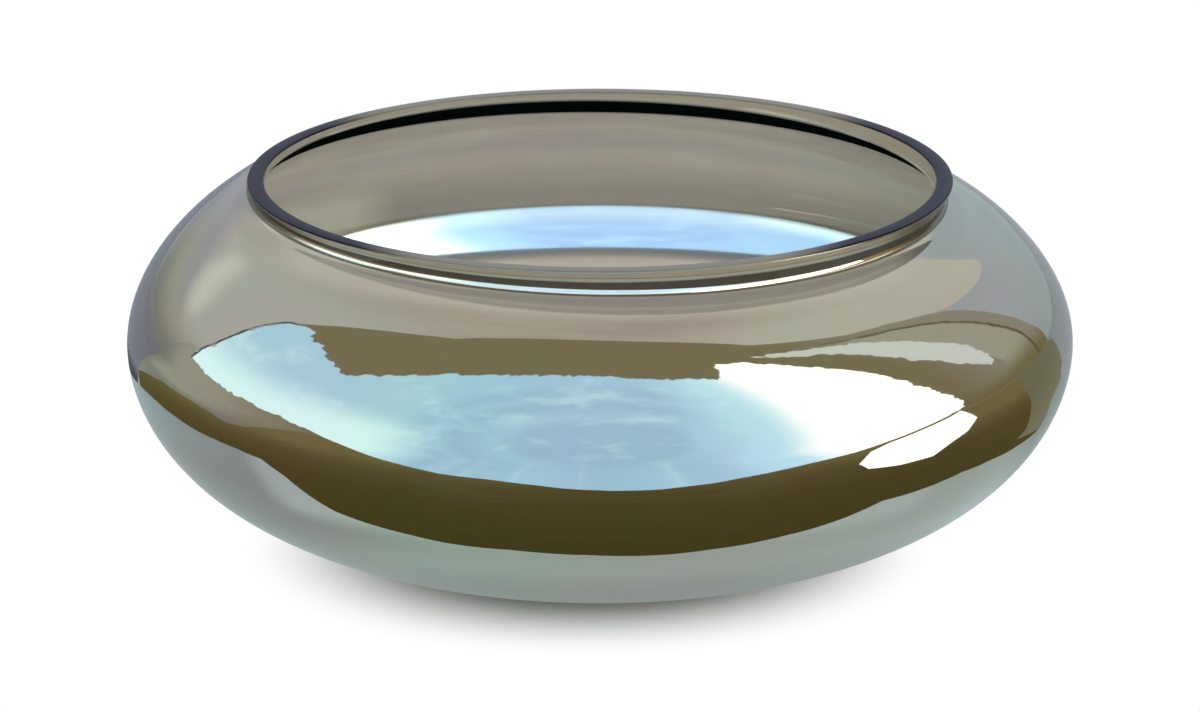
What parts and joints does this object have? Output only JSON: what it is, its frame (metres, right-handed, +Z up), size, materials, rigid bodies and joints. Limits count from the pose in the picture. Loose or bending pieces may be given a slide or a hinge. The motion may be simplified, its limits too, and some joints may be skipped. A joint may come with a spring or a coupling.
{
  "type": "glass bowl",
  "caption": "Wide low bowl of blown glass with a smoky gold lustre: flat ground foot, full belly, shoulder drawn in to a short thick collar with a ground rim, and a dished inside over a thick base.",
  "frame": {"origin": "middle of the ground face that the bowl stands on, at the lowest point", "axes": "+Z up along the bowl's axis, out of its mouth; it looks the same all round Z"},
  "size_m": [0.3, 0.3, 0.1159],
  "materials": {
    "lustre_glass": "polished glass with a smoky gold metallic lustre, mirror-like and faintly see-through"
  },
  "bodies": {
    "root": {"glass_bowl": "lustre_glass"}
  },
  "joints": []
}
